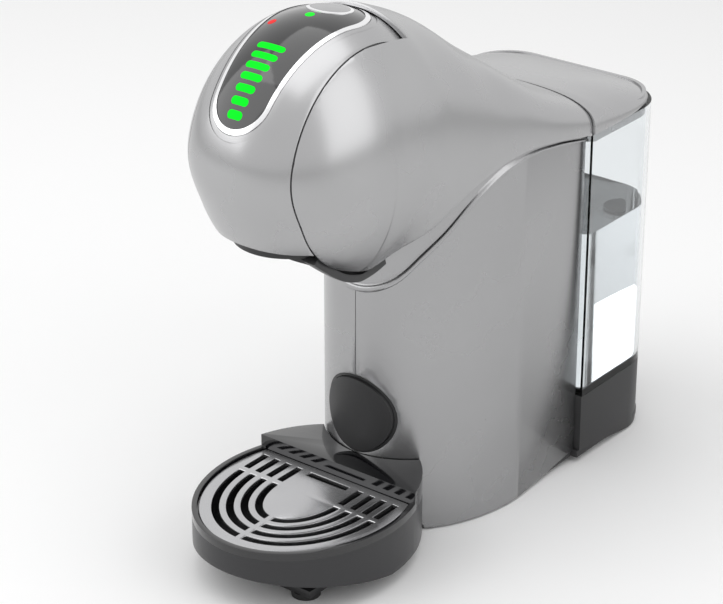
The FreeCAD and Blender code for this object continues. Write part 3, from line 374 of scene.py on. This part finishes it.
cutter = sheet("panel_cutter", [drop_ring(OPENING_MARGIN, depth) for depth in (30, 55, 80)], ring=True)
close_ends(cutter)
apply(visor, "BOOLEAN", object=cutter, operation="DIFFERENCE", solver="EXACT")
bpy.data.objects.remove(cutter)
PLATE_GAP, PIVOT_HOLE = 1.2, 6
plates = []
for sign in (-1, 1):
    turns = np.linspace(-35, VISOR_TAIL - 2, 70)
    rim = head_radius(VISOR_HALF) * draw_in(turns) - PLATE_GAP
    reach = np.linspace(0, 1, 6)[None, :] * (rim - PIVOT_HOLE)[:, None] + PIVOT_HOLE
    rows = np.stack([np.full_like(reach, sign * (SEAM - PLATE_GAP)),
                     HEAD_Y - reach * np.cos(np.radians(turns))[:, None],
                     HEAD_Z + reach * np.sin(np.radians(turns))[:, None]], -1)
    plates.append(sheet("plate", rows))
    tidy_mesh(plates[-1])
    thicken(plates[-1], 1.2, offset=0)
choose(visor, *plates)
bpy.ops.object.join()
settle(visor, silver_lacquer, "visor", "satin_silver", "visor_shell")
paint(silver_lacquer, "panel_bezel", "upper_shell", "visor_shell", "tank_lid")

# Visor liner, outlet cover and brewing frame.
# Dark mouldings under the skin: a lining in the visor, the curved cover around the coffee outlet, and the
# drum that the capsule holder slides in.
inner_moulding = moulded("inner_moulding", (0.05, 0.05, 0.052), 0.5, grain=1200, depth=0.1)
LINING_HALF, LINING_INSET = 16, 3.7
turns = np.linspace(-30, 20, 40)
lining = sheet("visor_lining", [head_point(np.full_like(turns, side), turns, LINING_INSET)
                                for side in np.linspace(-LINING_HALF, LINING_HALF, 21)])
tidy_mesh(lining)
thicken(lining, 1.5)
paint(inner_moulding, "visor_liner", "brew_frame")
settle(lining, inner_moulding, "visor", "inner_plastic", "visor_liner")
COVER_HALF, COVER_RECESS, COVER_REACH = 27.5, 45.5, 54
cover_turns = np.linspace(-106, -46, 50)
cover_rows = []
for side in np.linspace(-COVER_HALF, COVER_HALF, 30):
    middle = COVER_RECESS + (COVER_REACH - COVER_RECESS) * ease((-68 - cover_turns) / 22)
    edge = head_radius(SEAM) * draw_in(cover_turns) - 0.8 + 3.0 * ease((-50 - cover_turns) / 34)
    reach = middle + (np.minimum(COVER_REACH, edge) - middle) * ease((side - 12) / 12)
    cover_rows.append(around_head(np.full_like(cover_turns, side), cover_turns, reach))
cover = sheet("outlet_cover_skin", cover_rows)
tidy_mesh(cover)
thicken(cover, 3.5)
OUTLET_RADIUS, OUTLET_PLACE = 0.0155, (0, -0.095, 0.155)
bpy.ops.object.select_all(action="DESELECT")
bpy.ops.mesh.primitive_cylinder_add(vertices=64, radius=OUTLET_RADIUS, depth=0.06, location=OUTLET_PLACE)
bore = bpy.context.object
apply(cover, "BOOLEAN", object=bore, operation="DIFFERENCE", solver="EXACT")
bpy.data.objects.remove(bore)
soft_edge(cover, 0.8)
settle(cover, dark_moulding, "machine_body", "dark_plastic", "outlet_cover")
DRUM_RADIUS = 46


def from_axis(place):
    """The way out from the head's axis to a place."""
    return np.array((0, place[1] - HEAD_Y, place[2] - HEAD_Z))


drum = merged("brew_frame_skin", "brew_frame")
move(drum, lambda place: math.hypot(*from_axis(place)) > DRUM_RADIUS,
     lambda place: from_axis(place) * (DRUM_RADIUS / math.hypot(*from_axis(place)) - 1))
settle(drum, inner_moulding, "machine_body", "inner_plastic", "brew_frame")

# Column and tank seat.
# Two moulded half shells meet on the centre line, lacquered a darker silver than the head. Their skin and
# that of the tank's seat run down to just above the table, and a rolled collar covers the column's top edge.
column_lacquer = moulded("column_lacquer", (0.38, 0.38, 0.385), 0.27, metallic=0.94, grain=1400, depth=0.02)
paint(column_lacquer, "neck_collar", "column_left_shell", "column_right_shell")
COLUMN_HALF, COLUMN_Y, COLUMN_REACH, COLUMN_BACK, SKIRT_DROP = 50.0, 22, 69, 70.9, 6.0
# Height of the collar's lower edge along the machine.
COLLAR_EDGE = ((-60, 118), (-47, 127), (-41.3, 133.8), (-34.8, 144.4), (-26.1, 155.4), (-16.5, 167),
               (-3.4, 177.8), (17.5, 185), (44, 183.2), (72, 177.8))
bend = np.radians(np.linspace(-90, 0, 91))
path = np.concatenate([np.stack([COLUMN_HALF * np.cos(bend), COLUMN_Y + COLUMN_REACH * np.sin(bend)], 1),
                       np.stack([np.full(40, COLUMN_HALF), np.linspace(COLUMN_Y + 1, 70.8, 40)], 1)])
ways = np.gradient(path, axis=0)
ways = np.stack([ways[:, 1], -ways[:, 0]], 1) / np.linalg.norm(ways, axis=1)[:, None]
path, ways = (np.concatenate([half[:0:-1] * (-1, 1), half]) for half in (path, ways))
# How far the roll stands out, and at which share of its height.
COLLAR_ROLL = ((-0.4, 0), (1.0, 0.02), (1.6, 0.12), (1.75, 0.26), (1.6, 0.4), (1.0, 0.52), (0.5, 0.62),
               (0.35, 0.8), (0.3, 1.0))
ROLL_HEIGHT, COLLAR_GAP = 6.5, 0.5
lower = smooth_table(path[:, 1], COLLAR_EDGE)[:, 0]
upper = smooth_table(path[:, 1], SHELL_RIM)[:, 0] - COLLAR_GAP
roll = np.minimum(ROLL_HEIGHT, upper - lower)
collar_rows = [np.column_stack([path + ways * proud, lower + roll * share]) for proud, share in COLLAR_ROLL]
collar_rows.append(np.column_stack([path + ways * COLLAR_ROLL[-1][0], upper]))
collar = sheet("neck_collar_skin", collar_rows)
tidy_mesh(collar)
thicken(collar, 0.8)
settle(collar, column_lacquer, "machine_body", "column_silver", "neck_collar")
SKIRT_TOP, SKIRT_WALL, TONGUE_SIDE, SEAT_FRONT = 7.2, 3.2, 31, 71.2
COLUMN_SKIRT_END, SEAT_SKIRT_START, REAR_CORNER = 66, 80, 44


def near_outline(place):
    """Is a corner in the column's or the seat's outer wall, clear of the tongue and the inner wall?"""
    side, y = abs(place[0]), place[1]
    if y > SEAT_FRONT:
        return place[2] < SKIRT_TOP and y > SEAT_SKIRT_START
    ahead = min(0, y - COLUMN_Y) / COLUMN_REACH
    edge = COLUMN_HALF * math.sqrt(max(0, 1 - ahead ** 2))
    return place[2] < SKIRT_TOP and side > TONGUE_SIDE and edge - side < SKIRT_WALL and y < COLUMN_SKIRT_END


for hand in ("left", "right"):
    shell = merged(f"column_{hand}_skin", f"column_{hand}_shell")
    move(shell, near_outline, lambda place: np.array((0, 0, -SKIRT_DROP)))
    rear = max(vertex.co[1] for vertex in shell.data.vertices) * 1000
    move(shell, lambda place: place[1] > rear - 0.5 and abs(place[0]) > REAR_CORNER,
         lambda place: np.array((0, COLUMN_BACK - rear, 0)))
    soft_edge(shell, 0.4)
    settle(shell, column_lacquer, "machine_body", "column_silver", f"column_{hand}_shell", angle=30)
seat = merged("tank_seat_skin", "tank_base")
move(seat, near_outline, lambda place: np.array((0, 0, -SKIRT_DROP)))
soft_edge(seat, 0.5)
settle(seat, dark_moulding, "machine_body", "dark_plastic", "tank_base", angle=30)

# Tank lid.
# A domed cap with a D-shaped outline. Its front is cut square where it meets the deck, and a plug below it
# seats in the tank's mouth.
LID_HALF, LID_FRONT, LID_LENGTH, LID_Z, LID_RISE, LID_SLOPE = 54.8, 71.7, 73.0, 182, 17.8, 0.1
# The dome is full at its front corners and falls off more to the back.
LID_POWER, LID_POWER_DROP = 3.1, 1.3
turns = np.linspace(0, math.pi, 97)
out_x = np.sign(np.cos(turns)) * np.abs(np.cos(turns)) ** 0.5
out_y = np.abs(np.sin(turns)) ** 0.5
power = LID_POWER - LID_POWER_DROP * np.abs(np.sin(turns)) ** 0.3
lid_rows = []
for climb in np.linspace(0, math.pi / 2, 48):
    scale = math.cos(climb) ** (2 / power) if climb < math.pi / 2 else np.zeros_like(power)
    rise = math.sin(climb) ** (2 / power)
    back = LID_LENGTH * out_y * scale
    lid_rows.append(np.stack([LID_HALF * out_x * scale, LID_FRONT + back,
                              LID_Z + (LID_RISE - LID_SLOPE * back) * rise], 1))
lid = sheet("tank_lid_skin", lid_rows)
tidy_mesh(lid)
pick(lid, lambda place: place[1] < LID_FRONT + 0.05, "EDGE")
bpy.ops.mesh.edge_face_add()
bpy.ops.object.mode_set(mode="OBJECT")
tidy_mesh(lid)
thicken(lid, 2)
# Half width, front, back and rear corner radius.
PLUG_OUTLINE = (50.6, 74.6, 140.4, 23.0)
plug = sheet("plug", [round_box(*PLUG_OUTLINE, height) for height in (176, 178, 186)], ring=True)
tidy_mesh(plug)
thicken(plug, 2)
choose(lid, plug)
bpy.ops.object.join()
soft_edge(lid, 0.5)
settle(lid, silver_lacquer, "tank_lid", "satin_silver", "tank_lid")

# Touch panel and lights.
# A gloss black panel with a bright chromed trim lies in the visor, with lit bars and status lights showing
# through, and a metal start button in a chromed ring.
gloss_black = moulded("gloss_black", (0.006, 0.006, 0.007), 0.10, grain=300, depth=0.01, coat=0.6)
paint(gloss_black, "touch_panel")
chrome = moulded("chrome", (0.86, 0.86, 0.87), 0.12, metallic=1.0, grain=1500, depth=0.02)
paint(chrome, "panel_trim", "button_ring")


def lit(name, colour, glow):
    """A lit lens: its own colour, with light from behind that is a little uneven."""
    material = moulded(name, [channel * 0.15 for channel in colour], 0.3, grain=600, depth=0.03)
    tree = material.node_tree
    shader = tree.nodes["Principled BSDF"]
    clouds = [item for item in tree.nodes if item.type == "TEX_NOISE"][0]
    level = tree.nodes.new("ShaderNodeMapRange")
    level.inputs["To Min"].default_value = glow * 0.9
    level.inputs["To Max"].default_value = glow * 1.1
    tree.links.new(clouds.outputs["Fac"], level.inputs["Value"])
    tree.links.new(level.outputs["Result"], shader.inputs["Emission Strength"])
    shader.inputs["Emission Color"].default_value = (*colour, 1.0)
    shader.inputs["Specular IOR Level"].default_value = 0.05
    return material


paint(lit("green_lens", (0.0, 0.9, 0.02), 1.0), "level_bars", "green_status_light")
paint(lit("red_lens", (0.85, 0.01, 0.01), 0.9), "red_status_light")
button_metal = moulded("button_metal", (0.42, 0.42, 0.425), 0.3, metallic=0.95, grain=1800, depth=0.1)
paint(button_metal, "start_button")

# Drip tray and grid.
# A dark tray with a rounded gloss rim and a satin wall below it. A polished slotted plate lies in it, and the
# rinsing tool, the capsule holder and the tank's valve are of the same dark moulding as the floor.
GLOSS_ABOVE = 0.0302
tray = merged("drip_tray_skin", "drip_tray")
pick(tray, lambda place: True)
bpy.ops.mesh.bisect(plane_co=(0, 0, GLOSS_ABOVE), plane_no=(0, 0, 1))
bpy.ops.object.mode_set(mode="OBJECT")
soft_edge(tray, 1.1, 3)
tray_satin = moulded("tray_satin", (0.040, 0.040, 0.042), 0.30, grain=1500, depth=0.04)
tray_satin.node_tree.nodes["Principled BSDF"].inputs["Specular IOR Level"].default_value = 0.3
paint(tray_satin, "drip_tray")
settle(tray, tray_satin, "drip_tray", "dark_plastic", "drip_tray")
tray.data.materials.append(gloss_black)
for face in tray.data.polygons:
    face.material_index = 1 if face.center[2] > GLOSS_ABOVE else 0
grid_lacquer = moulded("grid_lacquer", (0.50, 0.50, 0.51), 0.24, metallic=0.95, grain=2000, depth=0.04)
paint(grid_lacquer, "drip_grid")
grid = merged("drip_grid_skin", "drip_grid")
soft_edge(grid, 0.5)
settle(grid, grid_lacquer, "drip_grid", "grid_silver", "drip_grid")
paint(dark_moulding, "rinsing_tool", "capsule_holder", "tank_valve")

# Water tank and the water in it.
# A clear moulding with thin walls that stands on the seat behind the column. The water fills it a little over
# half way.
def clear(name, colour, roughness, bending, grain):
    """A clear material that bends light."""
    material = moulded(name, colour, roughness, grain=grain, depth=0.01, patchy=0.01)
    shader = material.node_tree.nodes["Principled BSDF"]
    shader.inputs["Transmission Weight"].default_value = 1.0
    shader.inputs["IOR"].default_value = bending
    return material


paint(clear("clear_moulding", (0.93, 0.95, 0.96), 0.04, 1.3, 300), "water_tank")
# Half width, front, back and rear corner radius.
WATER_OUTLINE = (51.2, 73.9, 141.1, 23.7)
water = sheet("tank_water", [round_box(*WATER_OUTLINE, height) for height in (41.6, 84, 127)], ring=True)
close_ends(water)
water_look = clear("water_look", (0.95, 0.97, 0.98), 0.02, 1.33, 60)
settle(water, water_look, "water_tank", "clear_tank")

# Works inside.
# Pump, meter, heater, board and hoses stand on the chassis in the column. Each has its own plain finish:
# dark casings, cast and bright metal, a coated board, and silicone hoses.
paint(inner_moulding, "chassis", "flow_meter", "flow_rotor", "heater_bracket", "needle_carriage")
case_black = moulded("case_black", (0.03, 0.03, 0.03), 0.45, grain=1000, depth=0.1)
paint(case_black, "pump_body", "thermostats", "board_standoffs", "board_parts")
cast_metal = moulded("cast_metal", (0.62, 0.62, 0.63), 0.45, metallic=1.0, grain=500, depth=0.35)
paint(cast_metal, "heater_block")
stainless = moulded("stainless", (0.66, 0.66, 0.67), 0.25, metallic=1.0, grain=1500, depth=0.05)
paint(stainless, "needle", "pump_plunger")
board_coat = moulded("board_coat", (0.02, 0.16, 0.06), 0.35, grain=900, depth=0.15, patchy=0.2)
paint(board_coat, "control_board", "touch_board")
silicone = moulded("silicone", (0.72, 0.70, 0.66), 0.45, grain=500, depth=0.05)
paint(silicone, "tank_hose", "meter_hose", "pump_hose", "feed_hose")
seal_rubber = moulded("seal_rubber", (0.24, 0.07, 0.04), 0.6, grain=600, depth=0.1)
paint(seal_rubber, "tank_seal", "capsule_seal")

# Studio.
# A pale floor, a white world, three large soft boxes, and the camera at the photograph's angle.
bpy.ops.object.select_all(action="DESELECT")
bpy.ops.mesh.primitive_plane_add(size=8.0, location=(0, 0, 0))
floor = bpy.context.object
floor.name = "floor"
floor_paint = bpy.data.materials.new("floor_paint")
floor_paint.use_nodes = True
floor_shader = floor_paint.node_tree.nodes["Principled BSDF"]
floor_shader.inputs["Base Color"].default_value = (0.95, 0.95, 0.95, 1)
floor_shader.inputs["Specular IOR Level"].default_value = 0.0
floor_shader.inputs["Roughness"].default_value = 0.6
floor.data.materials.append(floor_paint)

world = bpy.data.worlds.new("studio")
bpy.context.scene.world = world
world.use_nodes = True
sky = world.node_tree.nodes["Background"]
rays = world.node_tree.nodes.new("ShaderNodeLightPath")
sky.inputs["Color"].default_value = (1, 1, 1, 1)
level = world.node_tree.nodes.new("ShaderNodeMapRange")
level.inputs["To Min"].default_value = 0.55
level.inputs["To Max"].default_value = 1.0
seen = rays.outputs["Is Camera Ray"]
for kind in ("Is Glossy Ray", "Is Transmission Ray"):
    either = world.node_tree.nodes.new("ShaderNodeMath")
    either.operation = "MAXIMUM"
    world.node_tree.links.new(seen, either.inputs[0])
    world.node_tree.links.new(rays.outputs[kind], either.inputs[1])
    seen = either.outputs[0]
world.node_tree.links.new(seen, level.inputs["Value"])
world.node_tree.links.new(level.outputs["Result"], sky.inputs["Strength"])


def point_at(item, place, aim):
    """Put a lamp or camera at a place and turn it to a spot."""
    way = np.array(aim) - np.array(place)
    item.location = place
    item.rotation_euler = (math.atan2(math.hypot(way[0], way[1]), -way[2]), 0,
                           math.atan2(way[1], way[0]) - math.pi / 2)


def soft_box(name, place, aim, size, power):
    """A rectangular studio lamp that points at a spot."""
    lamp = bpy.data.lights.new(name, "AREA")
    lamp.shape = "RECTANGLE"
    lamp.size, lamp.size_y = size
    lamp.energy = power
    lamp_object = bpy.data.objects.new(name, lamp)
    bpy.context.scene.collection.objects.link(lamp_object)
    point_at(lamp_object, place, aim)


soft_box("key_box", (-0.9, -0.9, 1.1), (0, -0.05, 0.15), (1.6, 1.6), 10)
soft_box("side_box", (1.2, 0.1, 0.8), (0, 0, 0.12), (1.0, 1.4), 4)
soft_box("top_box", (0.0, 0.0, 1.6), (0, 0, 0), (1.6, 1.6), 9)

CAMERA_PLACE, CAMERA_AIM = (0.6606, -0.8880, 0.6307), (0.0, -0.04241, 0.1189)
camera = bpy.data.cameras.new("photo_camera")
camera.lens = 124.5
camera.sensor_width = 36
camera.sensor_fit = "HORIZONTAL"
camera_object = bpy.data.objects.new("photo_camera", camera)
bpy.context.scene.collection.objects.link(camera_object)
point_at(camera_object, CAMERA_PLACE, CAMERA_AIM)
bpy.context.scene.camera = camera_object
bpy.context.scene.view_settings.view_transform = "Standard"
